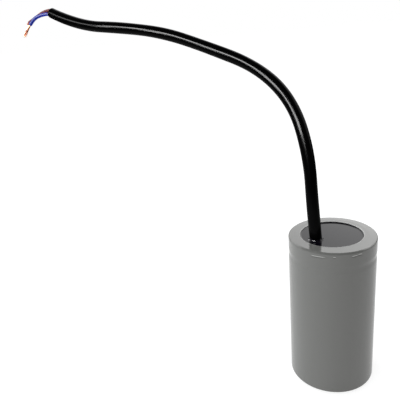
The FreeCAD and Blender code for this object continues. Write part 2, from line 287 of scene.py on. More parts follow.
def turned_skin_tree():
    """Skin turned about a path. The starting mesh is a row of points, x along the path and y its radius."""
    tree, given, end = new_shape_group("turned_skin", [
        ("Path", "NodeSocketObject", None),
        ("Segments", "NodeSocketInt", 64),
        ("Lobes", "NodeSocketInt", 0),
        ("Lobe Pitch", "NodeSocketFloat", 0.06),
        ("Lobe Height", "NodeSocketFloat", 0.0),
        ("Sharp Angle", "NodeSocketFloat", 0.6),
        ("Material", "NodeSocketMaterial", None),
    ])
    size = add(tree, "GeometryNodeAttributeDomainSize", {"Geometry": given["Geometry"]})
    rows = size.outputs["Point Count"]
    columns = plus(tree, given["Segments"], 1)
    grid = add(tree, "GeometryNodeMeshGrid", {"Vertices X": columns, "Vertices Y": rows}).outputs["Mesh"]
    index = add(tree, "GeometryNodeInputIndex").outputs[0]
    column = calc(tree, "FLOOR", calc(tree, "DIVIDE", plus(tree, index, 0.5), rows))
    row = minus(tree, index, times(tree, column, rows))
    position = add(tree, "GeometryNodeInputPosition").outputs[0]
    point = sample(tree, given["Geometry"], row, position, "FLOAT_VECTOR")
    point = add(tree, "ShaderNodeSeparateXYZ", {0: point}).outputs
    for label in ("skin", "cut"):
        mark = sample(tree, given["Geometry"], row, named(tree, label), "FLOAT")
        grid = store(tree, grid, label, mark)
    angle = times(tree, calc(tree, "DIVIDE", column, given["Segments"]), math.tau)
    twist = times(tree, calc(tree, "DIVIDE", point["X"], given["Lobe Pitch"]), math.tau)
    wave = calc(tree, "COSINE", times(tree, minus(tree, angle, twist), given["Lobes"]))
    radius = plus(tree, point["Y"], times(tree, wave, given["Lobe Height"]))
    radius = times(tree, radius, calc(tree, "GREATER_THAN", point["Y"], touching))
    path = add(tree, "GeometryNodeObjectInfo", {"Object": given["Path"]}).outputs["Geometry"]
    along = add(tree, "GeometryNodeSampleCurve", {
        "Curves": path, "Length": point["X"]}, mode="LENGTH", use_all_curves=True).outputs
    beside = vector_calc(tree, "CROSS_PRODUCT", along["Tangent"], along["Normal"])
    across = scaled(tree, along["Normal"], times(tree, radius, calc(tree, "COSINE", angle)))
    upward = scaled(tree, beside, times(tree, radius, calc(tree, "SINE", angle)))
    place = vector_calc(tree, "ADD", along["Position"], vector_calc(tree, "ADD", across, upward))
    skin = add(tree, "GeometryNodeSetPosition", {"Geometry": grid, "Position": place}).outputs[0]
    skin = add(tree, "GeometryNodeMergeByDistance", {"Geometry": skin, "Distance": touching}).outputs[0]
    bend = add(tree, "GeometryNodeInputMeshEdgeAngle").outputs["Unsigned Angle"]
    sharp = add(tree, "FunctionNodeCompare", {0: bend, 1: given["Sharp Angle"]}, operation="GREATER_THAN")
    skin = add(tree, "GeometryNodeSetShadeSmooth", {
        "Geometry": skin, "Selection": sharp.outputs[0], "Shade Smooth": False}, domain="EDGE").outputs[0]
    end_shape(tree, given, end, skin)
    return tree


def fold_tree():
    """One short fold in the film: a ridge along the sleeve's girth, with a groove under it."""
    tree, given, end = new_group("film_fold", "GeometryNodeTree", [
        ("Angle", "NodeSocketFloat", 0.0),
        ("Level", "NodeSocketFloat", 0.0),
        ("Reach", "NodeSocketFloat", 0.1),
        ("Slope", "NodeSocketFloat", 0.0),
        ("Width", "NodeSocketFloat", 0.0002),
        ("Height", "NodeSocketFloat", 0.0001),
    ], [("Height", "NodeSocketFloat")])
    position = add(tree, "GeometryNodeInputPosition").outputs[0]
    place = add(tree, "ShaderNodeSeparateXYZ", {0: position}).outputs
    turn = turn_from(tree, place, given["Angle"])
    end_power = 3.0
    ends = calc(tree, "ABSOLUTE", calc(tree, "DIVIDE", turn, given["Reach"]))
    ends = calc(tree, "POWER", ends, end_power)
    ends = calc(tree, "EXPONENT", times(tree, ends, -1.0))
    rise = minus(tree, place["Z"], given["Level"])
    rise = minus(tree, rise, times(tree, turn, given["Slope"]))
    rise = calc(tree, "DIVIDE", rise, given["Width"])
    groove_place = 1.7
    groove_depth = 0.8
    groove = bell(tree, plus(tree, rise, groove_place))
    shape = minus(tree, bell(tree, rise), times(tree, groove, groove_depth))
    tree.links.new(times(tree, shape, ends, given["Height"]), end.inputs[0])
    return tree


# Folds under the curled mouth: angle and reach in degrees, level, slope, width and height in millimetres
film_folds = [
    (-107.0, 91.25, 10.5, 0.2, 0.32, 0.20),
    (-87.0, 91.65, 1.6, 0.0, 0.30, 0.24),
    (-62.0, 91.55, 4.4, 1.0, 0.32, 0.20),
    (-54.4, 91.85, 2.6, 0.0, 0.34, 0.24),
    (-20.0, 91.45, 8.0, 0.6, 0.26, 0.08),
    (8.0, 91.60, 3.0, 0.0, 0.28, 0.10),
    (41.0, 91.50, 11.0, -0.5, 0.26, 0.09),
    (77.0, 91.35, 6.0, 0.0, 0.24, 0.07),
    (104.0, 91.60, 9.0, 0.4, 0.28, 0.10),
    (139.0, 91.50, 4.5, 0.0, 0.26, 0.09),
    (171.0, 91.55, 8.0, -0.4, 0.24, 0.08),
    (-141.0, 91.45, 5.0, 0.0, 0.24, 0.07),
]


def shrunk_film_tree():
    """Gives a turned sleeve the folds, pleats and uneven lips of shrunk film, and marks the sharp folds'
    ridges where a painted highlight goes.
    """
    tree, given, end = new_shape_group("shrunk_film", [
        ("Unevenness", "NodeSocketFloat", 0.03 * MM),
        ("Pleat Height", "NodeSocketFloat", 0.03 * MM),
        ("Pleats", "NodeSocketFloat", 14.0),
        ("Lip Wander", "NodeSocketFloat", 0.1 * MM),
        ("Material", "NodeSocketMaterial", None),
    ])
    position = add(tree, "GeometryNodeInputPosition").outputs[0]
    place = add(tree, "ShaderNodeSeparateXYZ", {0: position}).outputs
    flat = vector_calc(tree, "MULTIPLY", position, (1.0, 1.0, 0.0))
    radius = vector_calc(tree, "LENGTH", flat)
    outward = vector_calc(tree, "NORMALIZE", flat)
    skin = named(tree, "skin")
    height = minus(tree, noise(tree, position, swell_scale, detail=1.0), 0.5)
    height = times(tree, height, times(tree, given["Unevenness"], 2.0))
    fold = fold_tree()
    for angle, level, reach, slope, width, tall in film_folds:
        one = add(tree, "GeometryNodeGroup", node_tree=fold)
        values = {
            "Angle": math.radians(angle),
            "Level": level * MM,
            "Reach": math.radians(reach),
            "Slope": slope * MM,
            "Width": width * MM,
            "Height": tall * MM,
        }
        for name, value in values.items():
            one.inputs[name].default_value = value
        height = plus(tree, height, one.outputs[0])
    # Painted highlight: the ridges of the sharp folds are marked to be coloured paler, in place of their
    # glints
    crease = times(tree, ramp(tree, height, fold_glint_low * MM, fold_glint_high * MM), skin)
    # Fine pleats run across the ring towards its lip
    around = scaled(tree, outward, given["Pleats"])
    by_radius = add(tree, "ShaderNodeCombineXYZ", {"Z": times(tree, radius, pleat_run)}).outputs[0]
    around = vector_calc(tree, "ADD", around, by_radius)
    pleat = minus(tree, noise(tree, around, 1.0, detail=1.0), 0.5)
    patch = ramp(tree, noise(tree, position, patch_scale, detail=0.0), 0.4, 0.65)
    on_ring = ramp(tree, place["Z"], (curl_level + 1.2) * MM, (body_top - 0.1) * MM)
    pleat = times(tree, pleat, times(tree, patch, on_ring))
    height = plus(tree, height, times(tree, pleat, times(tree, given["Pleat Height"], 2.0)))
    height = times(tree, height, skin)
    normal = add(tree, "GeometryNodeInputNormal").outputs[0]
    offset = scaled(tree, normal, height)
    # Both lips wander in and out
    wander = minus(tree, noise(tree, scaled(tree, outward, lip_scale), 1.0), 0.5)
    near_top = times(
        tree, ramp(tree, radius, (top_lip + 1.5) * MM, top_lip * MM),
        calc(tree, "GREATER_THAN", place["Z"], curl_level * MM))
    near_base = times(
        tree, ramp(tree, radius, (base_lip + 2.5) * MM, base_lip * MM),
        calc(tree, "LESS_THAN", place["Z"], base_corner * MM))
    near = plus(tree, near_top, near_base)
    wander = times(tree, wander, near, times(tree, given["Lip Wander"], 2.0))
    offset = vector_calc(tree, "ADD", offset, scaled(tree, outward, wander))
    # The painted highlight's mask is stored at the points
    glint_marked = store(tree, given["Geometry"], "crease", crease)
    end_shape(tree, given, end, moved(tree, glint_marked, offset))
    return tree


def drawn_lip_tree():
    """Draws what lies near the sleeve's top lip outwards on one side."""
    tree, given, end = new_shape_group("drawn_lip", [
        ("Angle", "NodeSocketFloat", 0.0),
        ("Reach", "NodeSocketFloat", math.radians(45)),
        ("Draw", "NodeSocketFloat", 1.0 * MM),
        ("Lip Radius", "NodeSocketFloat", top_lip * MM),
        ("Fade", "NodeSocketFloat", 3.5 * MM),
        ("Lowest", "NodeSocketFloat", (curl_level - 1.0) * MM),
        ("Material", "NodeSocketMaterial", None),
    ])
    position = add(tree, "GeometryNodeInputPosition").outputs[0]
    place = add(tree, "ShaderNodeSeparateXYZ", {0: position}).outputs
    flat = vector_calc(tree, "MULTIPLY", position, (1.0, 1.0, 0.0))
    turn = calc(tree, "DIVIDE", turn_from(tree, place, given["Angle"]), given["Reach"])
    away = calc(tree, "ABSOLUTE", minus(tree, vector_calc(tree, "LENGTH", flat), given["Lip Radius"]))
    near = ramp(tree, away, 0.0, given["Fade"], 1.0, 0.0)
    high = calc(tree, "GREATER_THAN", place["Z"], given["Lowest"])
    draw = times(tree, bell(tree, turn), near, high, given["Draw"])
    offset = scaled(tree, vector_calc(tree, "NORMALIZE", flat), draw)
    end_shape(tree, given, end, moved(tree, given["Geometry"], offset))
    return tree


def strand_bundle_tree():
    """Twisted fine wires that follow a path and open out towards its end."""
    tree, given, end = new_shape_group("strand_bundle", [
        ("Path", "NodeSocketObject", None),
        ("Strand Diameter", "NodeSocketFloat", 0.25 * MM),
        ("Spacing", "NodeSocketFloat", 0.28 * MM),
        ("Turns per Metre", "NodeSocketFloat", 60.0),
        ("Splay", "NodeSocketFloat", 0.75 * MM),
        ("Seed", "NodeSocketInt", 1),
        ("Material", "NodeSocketMaterial", None),
    ])
    stations = 40
    wire_sides = 8
    splay_start = 0.45
    path = add(tree, "GeometryNodeObjectInfo", {"Object": given["Path"]}).outputs["Geometry"]
    path = add(tree, "GeometryNodeResampleCurve", {"Curve": path, "Count": stations}).outputs[0]
    station = add(tree, "GeometryNodeSplineParameter").outputs
    tilt = times(tree, station["Length"], given["Turns per Metre"], math.tau)
    path = add(tree, "GeometryNodeSetCurveTilt", {"Curve": path, "Tilt": tilt}).outputs[0]
    path = store(tree, path, "along", station["Factor"])
    lay = add(tree, "GeometryNodeJoinGeometry")
    middle = add(tree, "GeometryNodePoints", {"Count": 1}).outputs[0]
    tree.links.new(middle, lay.inputs[0])
    for layer in (1, 2):
        places = add(tree, "GeometryNodeMeshCircle", {
            "Vertices": 6 * layer, "Radius": times(tree, given["Spacing"], layer)}).outputs[0]
        tree.links.new(places, lay.inputs[0])
    wire = add(tree, "GeometryNodeCurvePrimitiveCircle", {
        "Resolution": wire_sides, "Radius": times(tree, given["Strand Diameter"], 0.5)}).outputs[0]
    wires = add(tree, "GeometryNodeInstanceOnPoints", {
        "Points": lay.outputs[0], "Instance": wire}).outputs[0]
    wires = add(tree, "GeometryNodeRealizeInstances", {"Geometry": wires}).outputs[0]
    bundle = add(tree, "GeometryNodeCurveToMesh", {
        "Curve": path, "Profile Curve": wires, "Fill Caps": True}).outputs[0]
    strand = add(tree, "GeometryNodeInputMeshIsland").outputs["Island Index"]
    way = add(tree, "FunctionNodeRandomValue", {
        0: (-1.0, -1.0, -1.0),
        1: (1.0, 1.0, 1.0),
        "ID": strand,
        "Seed": given["Seed"],
    }, data_type="FLOAT_VECTOR").outputs[0]
    opening = times(tree, ramp(tree, named(tree, "along"), splay_start, 1.0), given["Splay"])
    end_shape(tree, given, end, moved(tree, bundle, scaled(tree, way, opening)))
    return tree


# Pieces
def link(obj):
    """Object, now in the scene."""
    bpy.context.scene.collection.objects.link(obj)
    return obj


def curve_path(name, points):
    """Smooth path through millimetre points, as a NURBS curve with no bevel."""
    curve = bpy.data.curves.new(name, "CURVE")
    curve.dimensions = "3D"
    curve.resolution_u = 32
    spline = curve.splines.new("NURBS")
    spline.points.add(len(points) - 1)
    for spot, point in zip(spline.points, points):
        spot.co = (*(value * MM for value in point), 1.0)
    spline.order_u = 3
    spline.use_endpoint_u = True
    return link(bpy.data.objects.new(name, curve))


def path_points(path):
    """Points along a path's own spline."""
    bpy.context.view_layer.update()
    mesh = bpy.data.meshes.new_from_object(path.evaluated_get(bpy.context.evaluated_depsgraph_get()))
    points = [vertex.co.copy() for vertex in mesh.vertices]
    bpy.data.meshes.remove(mesh)
    return points


def path_length(points):
    """Length along points, in millimetres."""
    return sum((b - a).length for a, b in zip(points, points[1:])) / MM


def profile_mesh(name, rows):
    """Row of points for turned_skin from (along, radius, skin, cut) in millimetres."""
    mesh = bpy.data.meshes.new(name)
    mesh.from_pydata([(along * MM, radius * MM, 0.0) for along, radius, *_ in rows], [], [])
    for column, label in ((2, "skin"), (3, "cut")):
        mark = mesh.attributes.new(label, "FLOAT", "POINT")
        mark.data.foreach_set("value", [float(row[column]) for row in rows])
    return mesh


def made_by(name, mesh, *steps):
    """Piece that Geometry Nodes trees make of a starting mesh, one after the other, as a plain mesh."""
    obj = link(bpy.data.objects.new(name, mesh))
    for tree, values in steps:
        modifier = obj.modifiers.new(tree.name, "NODES")
        modifier.node_group = tree
        for item in tree.interface.items_tree:
            if item.in_out == "INPUT" and item.name in values:
                modifier[item.identifier] = values[item.name]
    bpy.context.view_layer.update()
    made = bpy.data.meshes.new_from_object(obj.evaluated_get(bpy.context.evaluated_depsgraph_get()))
    obj.modifiers.clear()
    obj.data = made
    made.name = name
    bpy.data.meshes.remove(mesh)
    return obj


def arc(centre, radius, first, last, steps):
    """(along, radius) points on an arc, from angles in degrees where 0 points outwards and 90 up."""
    points = []
    for step in range(steps + 1):
        angle = math.radians(first + (last - first) * step / steps)
        points.append((centre[0] + radius * math.sin(angle), centre[1] + radius * math.cos(angle)))
    return points


def run(first, last, step):
    """Even points from one (along, radius) to another, without the last."""
    count = max(1, round(math.dist(first, last) / step))
    return [tuple(a + (b - a) * i / count for a, b in zip(first, last)) for i in range(count)]


def dip(level):
    """How far the film sinks into the can's bead at a level."""
    away = abs(level - bead_level) / bead_half_width
    return bead_dip * 0.5 * (1 + math.cos(math.pi * min(1.0, away)))


def side(low, high, step, radius):
    """Rows up or down the sleeve's side, following the bead."""
    return [(along, radius - dip(along)) for along, _ in run((low, 0.0), (high, 0.0), step)]


def marked(points, skin, cut=0.0):
    """Rows of a section from (along, radius) points, with their marks for outer skin and for cut faces."""
    return [(along, radius, skin, cut) for along, radius in points]


def sleeve_rows():
    """Closed section of the sleeve: up its outside and back down its inside."""
    ring_slope = math.degrees(math.atan2(rim_drop - ring_sink, body_radius - rim_radius - flat_ring))
    bead_low = bead_level - bead_half_width
    bead_high = bead_level + bead_half_width
    fine_low = curl_level - 2.0
    ring_top = body_top - ring_sink
    inner_radius = body_radius - film
    corner = (base_corner, body_radius - base_corner)
    curl = (curl_level, curl_side)
    rows = marked([(film * 0.7, base_lip), (cut_round, base_lip), (0.03, base_lip + 0.04)], 0, 1)
    rows += marked(run((0.0, base_lip + cut_round), (0.0, corner[1]), 0.8), 1)
    rows += marked(arc(corner, base_corner, -90, 0, 10)[:-1], 1)
    rows += marked(side(base_corner, bead_low, 2.5, body_radius), 1)
    rows += marked(side(bead_low, bead_high, 0.25, body_radius), 1)
    rows += marked(side(bead_high, fine_low, 0.5, body_radius), 1)
    rim = (body_top - rim_drop - rim_radius, body_radius - rim_radius)
    rows += marked(side(fine_low, rim[0], 0.12, body_radius), 1)
    rows += marked(arc(rim, rim_radius, 0, 90 - ring_slope, 14)[:-1], 1)
    rows += marked(run((body_top - rim_drop, rim[1]), (ring_top, flat_ring), 0.35), 1)
    rows += marked(run((ring_top, flat_ring), (ring_top, top_lip + lip_rise), 0.35), 1)
    rows += marked(run((ring_top, top_lip + lip_rise), (body_top, top_lip + cut_round), 0.2), 1)
    rows += marked(arc((body_top - cut_round, top_lip + cut_round), cut_round, 90, 180, 3), 0, 1)
    rows += marked([(body_top - film + 0.05, top_lip), (body_top - film, top_lip + 0.05)], 0, 1)
    rows += marked(run((body_top - film, top_lip + 0.5), (body_top - film, curl_side), 1.5), 0)
    rows += marked(arc(curl, curl_radius - film, 90, 0, 6)[:-1], 0)
    rows += marked(side(curl_level, bead_high, 2.0, inner_radius), 0)
    rows += marked(side(bead_high, bead_low, 0.75, inner_radius), 0)
    rows += marked(side(bead_low, base_corner, 12.0, inner_radius), 0)
    rows += marked(arc(corner, base_corner - film, 0, -90, 5), 0)
    return rows + rows[:1]


def pool_rows():
    """Half section of the resin, from the middle of its foot to the middle of its top."""
    edge = top_lip - meniscus_width
    rise = body_top - film - resin_top
    rows = marked(run((resin_top, 0.0), (resin_top, edge), 0.8), 1)
    for step in range(9):
        share = step / 8
        rows.append((resin_top + rise * share ** 2 * meniscus_share, edge + meniscus_width * share, 1, 0))
    rows += marked(pool_wall, 0)
    return rows[::-1]


def skirt_rows():
    """Closed section of the resin drawn up round the cable, from the level of the resin."""
    rows = [(-skirt_under, skirt_bore, 0, 0), (-skirt_under, skirt_foot, 1, 0)]
    for step in range(11):
        share = step / 10
        rows.append((skirt_height * share, skirt_neck + skirt_spread * (1 - share) ** skirt_power, 1, 0))
    rows += [(skirt_height + 0.05, cable_radius, 1, 0), (skirt_height, skirt_bore, 0, 0)]
    return rows + rows[:1]


def hollow_end_rows(length, radius, bore, depth, step, skin_round=0.12):
    """Section of a long round piece whose far end is cut square and hollow to a depth."""
    floor = length - depth
    edge = length - skin_round
    rows = marked([(0.0, 0.0), (0.0, radius * 0.6), (0.0, radius - skin_round)], 0)
    rows += marked(run((skin_round, radius), (edge, radius), step), 1)
    rows += marked([(edge, radius), (length - skin_round * 0.3, radius - skin_round * 0.3)], 1)
    rows += marked([(length, radius - skin_round), (length, bore + bore_bevel[1])], 0, 1)
    rows += marked([(length - bore_bevel[0], bore), (floor, bore), (floor, bore * 0.5), (floor, 0.0)], 0)
    return rows


# Finishes
fine_ratio = 6.0                # noise scales of roughness and of coarse grain, against the given one
coarse_ratio = 0.12


def uneven_finish_group():
    """Slow change of colour and of roughness over a surface."""
    tree, given, end = new_group("uneven_finish", "ShaderNodeTree", [
        ("Color", "NodeSocketColor", (0.5, 0.5, 0.5, 1)),
        ("Shade", "NodeSocketColor", (0.4, 0.4, 0.4, 1)),
        ("Scale", "NodeSocketFloat", 60.0),
        ("Stretch", "NodeSocketVector", (1.0, 1.0, 1.0)),
        ("Amount", "NodeSocketFloat", 0.5),
        ("Roughness", "NodeSocketFloat", 0.3),
        ("Roughness Change", "NodeSocketFloat", 0.1),
    ], [("Color", "NodeSocketColor"), ("Roughness", "NodeSocketFloat")])
    place = add(tree, "ShaderNodeTexCoord").outputs["Object"]
    place = vector_calc(tree, "MULTIPLY", place, given["Stretch"])
    patch = noise(tree, place, given["Scale"], detail=4.0, roughness=0.6)
    share = times(tree, ramp(tree, patch, 0.3, 0.7), given["Amount"])
    colour = blend(tree, share, given["Color"], given["Shade"])
    fine = minus(tree, noise(tree, place, times(tree, given["Scale"], fine_ratio), detail=3.0), 0.5)
    rough = plus(tree, given["Roughness"], times(tree, fine, given["Roughness Change"]))
    tree.links.new(colour, end.inputs["Color"])
    tree.links.new(rough, end.inputs["Roughness"])
    return tree


def fine_grain_group():
    """Height of a fine grain, even or drawn out one way."""
    tree, given, end = new_group("fine_grain", "ShaderNodeTree", [
        ("Scale", "NodeSocketFloat", 1500.0),
        ("Stretch", "NodeSocketVector", (1.0, 1.0, 1.0)),
        ("Coarse", "NodeSocketFloat", 0.3),
    ], [("Height", "NodeSocketFloat")])
    place = add(tree, "ShaderNodeTexCoord").outputs["Object"]
    place = vector_calc(tree, "MULTIPLY", place, given["Stretch"])
    grain = noise(tree, place, given["Scale"], detail=3.0, roughness=0.6)
    swell = noise(tree, place, times(tree, given["Scale"], coarse_ratio), detail=1.0)
    height = plus(tree, grain, times(tree, swell, given["Coarse"]))
    tree.links.new(height, end.inputs[0])
    return tree


def cut_face_and_glint_group():
    """Shows another colour on a piece's cut faces, and the same colour as a painted highlight on the ridges
    of the film's sharp folds.
    """
    tree, given, end = new_group("cut_face_and_glint", "ShaderNodeTree", [
        ("Color", "NodeSocketColor", (0.5, 0.5, 0.5, 1)),
        ("Cut And Glint Color", "NodeSocketColor", (0.8, 0.8, 0.8, 1)),
    ], [("Color", "NodeSocketColor")])
    cut = add(tree, "ShaderNodeAttribute", attribute_name="cut").outputs["Fac"]
    crease = add(tree, "ShaderNodeAttribute", attribute_name="crease").outputs["Fac"]
    colour = blend(tree, calc(tree, "MAXIMUM", cut, crease), given["Color"], given["Cut And Glint Color"])
    tree.links.new(colour, end.inputs[0])
    return tree


uneven_finish = uneven_finish_group()
fine_grain = fine_grain_group()
cut_face_and_glint = cut_face_and_glint_group()


def rgb(red, green, blue):
    """Colour for a socket."""
    return (red, green, blue, 1.0)


def empty_material(name):
    """New material and its node tree, emptied."""
    material = bpy.data.materials.new(name)
    material.use_nodes = True
    material.node_tree.nodes.clear()
    return material, material.node_tree


def finish(name, colour, shade, rough, change=0.08, scale=60.0, stretch=(1, 1, 1), amount=0.5,
           grain=1500.0, grain_stretch=(1, 1, 1), bump=0.1, depth=0.02, cut=None, **shader):
    """Material whose colour, roughness and grain come from the shared groups. The rest of its values go
    straight to its shader."""
    material, tree = empty_material(name)
    base = add(tree, "ShaderNodeGroup", node_tree=uneven_finish)
    for key, value in {
        "Color": rgb(*colour), "Shade": rgb(*shade), "Scale": scale, "Stretch": stretch,
        "Amount": amount, "Roughness": rough, "Roughness Change": change,
    }.items():
        base.inputs[key].default_value = value
    hue = base.outputs["Color"]
    if cut:
        face = add(tree, "ShaderNodeGroup", node_tree=cut_face_and_glint)
        face.inputs["Cut And Glint Color"].default_value = rgb(*cut)
        tree.links.new(hue, face.inputs["Color"])
        hue = face.outputs[0]
    relief = add(tree, "ShaderNodeGroup", node_tree=fine_grain)
    relief.inputs["Scale"].default_value = grain
    relief.inputs["Stretch"].default_value = grain_stretch
    bumped = add(tree, "ShaderNodeBump", {
        "Strength": bump, "Distance": depth * MM, "Height": relief.outputs["Height"]})
    surface = add(tree, "ShaderNodeBsdfPrincipled", {
        "Base Color": hue, "Roughness": base.outputs["Roughness"], "Normal": bumped.outputs[0]})
    for key, value in shader.items():
        surface.inputs[key.replace("_", " ")].default_value = value
    add(tree, "ShaderNodeOutputMaterial", {"Surface": surface.outputs[0]})
    return material


# The film's cut colour also goes on the ridges of its sharp folds, as a painted highlight
film_grey = finish(
    "grey_shrunk_film", (0.134, 0.135, 0.129), (0.124, 0.125, 0.120), 0.11, change=0.03, scale=25.0,
    stretch=(1, 1, 0.2), grain=900.0, bump=0.03, cut=(0.42, 0.42, 0.41), IOR=1.58)
potting_black = finish(
    "black_potting_resin", (0.003, 0.0025, 0.005), (0.005, 0.004, 0.007), 0.05, change=0.03, scale=90.0,
    grain=260.0, bump=0.05, depth=0.05, IOR=1.27)
jacket_black = finish(
    "black_rubber_jacket", (0.0006, 0.0006, 0.0007), (0.0012, 0.0012, 0.0012), 0.17, scale=120.0,
    grain=1300.0, bump=0.10, depth=0.03, cut=(0.003, 0.003, 0.003), Specular_IOR_Level=0.02,
    Coat_Weight=0.006, Coat_Roughness=0.15, Coat_IOR=3.0)
blue_plastic = finish(
    "blue_core_insulation", (0.003, 0.020, 0.34), (0.002, 0.014, 0.27), 0.42, scale=300.0, bump=0.03,
    cut=(0.004, 0.02, 0.36), Specular_IOR_Level=0.12)
brown_plastic = finish(
    "brown_core_insulation", (0.17, 0.022, 0.020), (0.12, 0.016, 0.014), 0.42, scale=300.0, bump=0.03,
    cut=(0.2, 0.03, 0.028), Specular_IOR_Level=0.12)
bare_copper = finish(
    "drawn_copper", (0.74, 0.34, 0.20), (0.36, 0.12, 0.07), 0.34, change=0.2, scale=420.0, amount=0.8,
    grain=4000.0, bump=0.15, Metallic=1.0)
can_aluminium = finish(
    "extruded_aluminium", (0.72, 0.73, 0.74), (0.60, 0.61, 0.62), 0.36, change=0.15, scale=70.0,
    grain=2600.0, grain_stretch=(1, 1, 0.05), bump=0.2, depth=0.015, Metallic=1.0)
pressed_card = finish(
    "pressed_card", (0.42, 0.34, 0.22), (0.34, 0.27, 0.17), 0.85, scale=200.0, grain=1800.0, bump=0.4)
wound_paper = finish(
    "wound_paper", (0.55, 0.45, 0.30), (0.45, 0.36, 0.23), 0.8, scale=160.0, grain=2500.0,
    grain_stretch=(1, 1, 0.1), bump=0.35)
yellow_tape = finish("yellow_tape", (0.60, 0.42, 0.10), (0.50, 0.34, 0.08), 0.3, scale=120.0, bump=0.1)
brown_phenolic = finish(
    "brown_phenolic", (0.20, 0.10, 0.05), (0.14, 0.07, 0.035), 0.4, scale=240.0, bump=0.2)
gasket_rubber = finish(
    "black_gasket_rubber", (0.02, 0.02, 0.02), (0.03, 0.03, 0.03), 0.6, scale=200.0, bump=0.3)
rivet_metal = finish(
    "rivet_aluminium", (0.75, 0.75, 0.76), (0.62, 0.62, 0.63), 0.3, scale=300.0, Metallic=1.0)
bright_tin = finish("tinned_brass", (0.78, 0.77, 0.73), (0.66, 0.65, 0.61), 0.25, scale=300.0, Metallic=1.0)
dull_solder = finish(
    "dull_solder", (0.62, 0.62, 0.61), (0.50, 0.50, 0.49), 0.32, scale=400.0, bump=0.2, Metallic=1.0)

node_finishes = {
    "aluminium_can": can_aluminium,
    "bottom_pad": pressed_card,
    "can_liner": pressed_card,
    "wound_element": wound_paper,
    "closing_tape": yellow_tape,
    "deck_disc": brown_phenolic,
    "deck_gasket": gasket_rubber,
}
for core, plastic in (("blue", blue_plastic), ("brown", brown_plastic)):
    node_finishes[core + "_foil_tab"] = rivet_metal
    node_finishes[core + "_rivet"] = rivet_metal
    node_finishes[core + "_rivet_washer"] = rivet_metal
    node_finishes[core + "_solder_lug"] = bright_tin
    node_finishes[core + "_solder_joint"] = dull_solder
    node_finishes[core + "_lead_in"] = plastic
    node_finishes[core + "_lead_in_wire"] = bare_copper
for name, material in node_finishes.items():
    mesh = nodes[name].data
    mesh.materials.clear()
    mesh.materials.append(material)


def placed(piece, slot, *stands_for):
    """Fixes a piece to the body and hides the nodes that it stands for. Its slot is not used."""
    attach(piece, "root")
    if stands_for:
        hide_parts(*stands_for)


turned_skin = turned_skin_tree()
shrunk_film = shrunk_film_tree()
drawn_lip = drawn_lip_tree()
strand_bundle = strand_bundle_tree()

# Sleeve and resin, turned about the body's axis
axis = curve_path("body_axis", [(0, 0, 0), (0, 0, body_top / 2), (0, 0, body_top)])
sleeve = made_by(
    "shrunk_sleeve", profile_mesh("sleeve_section", sleeve_rows()),
    (turned_skin, {"Path": axis, "Segments": 360, "Material": film_grey}),
    (drawn_lip, {"Angle": lip_draw_angle, "Draw": lip_draw * MM, "Material": film_grey}),
    (shrunk_film, {"Material": film_grey}))
placed(sleeve, "sleeve_film", "shrink_sleeve")
pool = made_by(
    "resin_pool", profile_mesh("pool_section", pool_rows()),
    (turned_skin, {"Path": axis, "Segments": 180, "Material": potting_black}),
    (drawn_lip, {"Angle": lip_draw_angle, "Draw": lip_draw * MM, "Material": potting_black}))
placed(pool, "resin", "potting_resin")

# Cable
route = curve_path("cable_path", cable_route)
route_points = path_points(route)
route_length = path_length(route_points)
jacket_rows = hollow_end_rows(route_length, cable_radius, jacket_bore, filler_depth, step=1.2)
jacket = made_by(
    "cable_jacket_skin", profile_mesh("jacket_section", jacket_rows),
    (turned_skin, {
        "Path": route,
        "Segments": 44,
        "Lobes": 2,
        "Lobe Pitch": 80 * MM,
        "Lobe Height": 0.05 * MM,
        "Material": jacket_black,
    }))
placed(jacket, "jacket", "cable_jacket")

above = next(i for i, point in enumerate(route_points) if point.z >= resin_top * MM)
share = (resin_top * MM - route_points[above - 1].z) / (route_points[above].z - route_points[above - 1].z)
cable_exit = route_points[above - 1].lerp(route_points[above], share)
foot = cable_exit / MM
skirt_axis = curve_path("skirt_axis", [foot - Vector((0, 0, skirt_root)), foot, foot + Vector((0, 0, 2))])
skirt = made_by(
    "resin_skirt", profile_mesh("skirt_section", [(row[0] + skirt_root, *row[1:]) for row in skirt_rows()]),
    (turned_skin, {
        "Path": skirt_axis,
        "Segments": 64,
        "Lobes": 3,
        "Lobe Pitch": 40 * MM,
        "Lobe Height": 0.06 * MM,
        "Sharp Angle": 1.2,
        "Material": potting_black,
    }))
placed(skirt, "resin")


# Cores and their bare ends
def core_pieces(colour, sense, core_route, copper_end, plastic, seed):
    """Insulation and strands of one core, out of the jacket's cut end."""
    end = Vector(cable_route[-1])
    heading = (end - Vector(cable_route[-2])).normalized()
    upward = Vector((0, 0, 1))
    upward = (upward - heading * upward.dot(heading)).normalized()
    start = end + upward * (sense * core_offset)
    points = [start - heading * core_root, start, start + heading * core_lead, *map(Vector, core_route)]
    path = curve_path(colour + "_core_path", points)
    length = path_length(path_points(path))
    core_rows = hollow_end_rows(length, core_radius, core_bore, depth=0.9, step=0.4, skin_round=0.08)
    core = made_by(
        colour + "_core_skin", profile_mesh(colour + "_section", core_rows),
        (turned_skin, {"Path": path, "Segments": 32, "Material": plastic}))
    placed(core, colour + "_insulation", colour + "_core")
    tip, before = points[-1], points[-2]
    heading = (tip - before).normalized()
    wire_path = curve_path(colour + "_wire_path", [
        tip - heading * copper_root, tip - heading, tip + heading * copper_lead, Vector(copper_end)])
    wires = made_by(
        colour + "_copper", bpy.data.meshes.new(colour + "_start"),
        (strand_bundle, {"Path": wire_path, "Seed": seed, "Material": bare_copper}))
    placed(wires, "copper", colour + "_strands")
    for spare in (path, wire_path):
        bpy.data.objects.remove(spare)
    return [core, wires]


core_skins = core_pieces("blue", -1, blue_route, blue_copper_end, blue_plastic, 3)
core_skins += core_pieces("brown", 1, brown_route, brown_copper_end, brown_plastic, 8)
for spare in (axis, route, skirt_axis):
    bpy.data.objects.remove(spare)


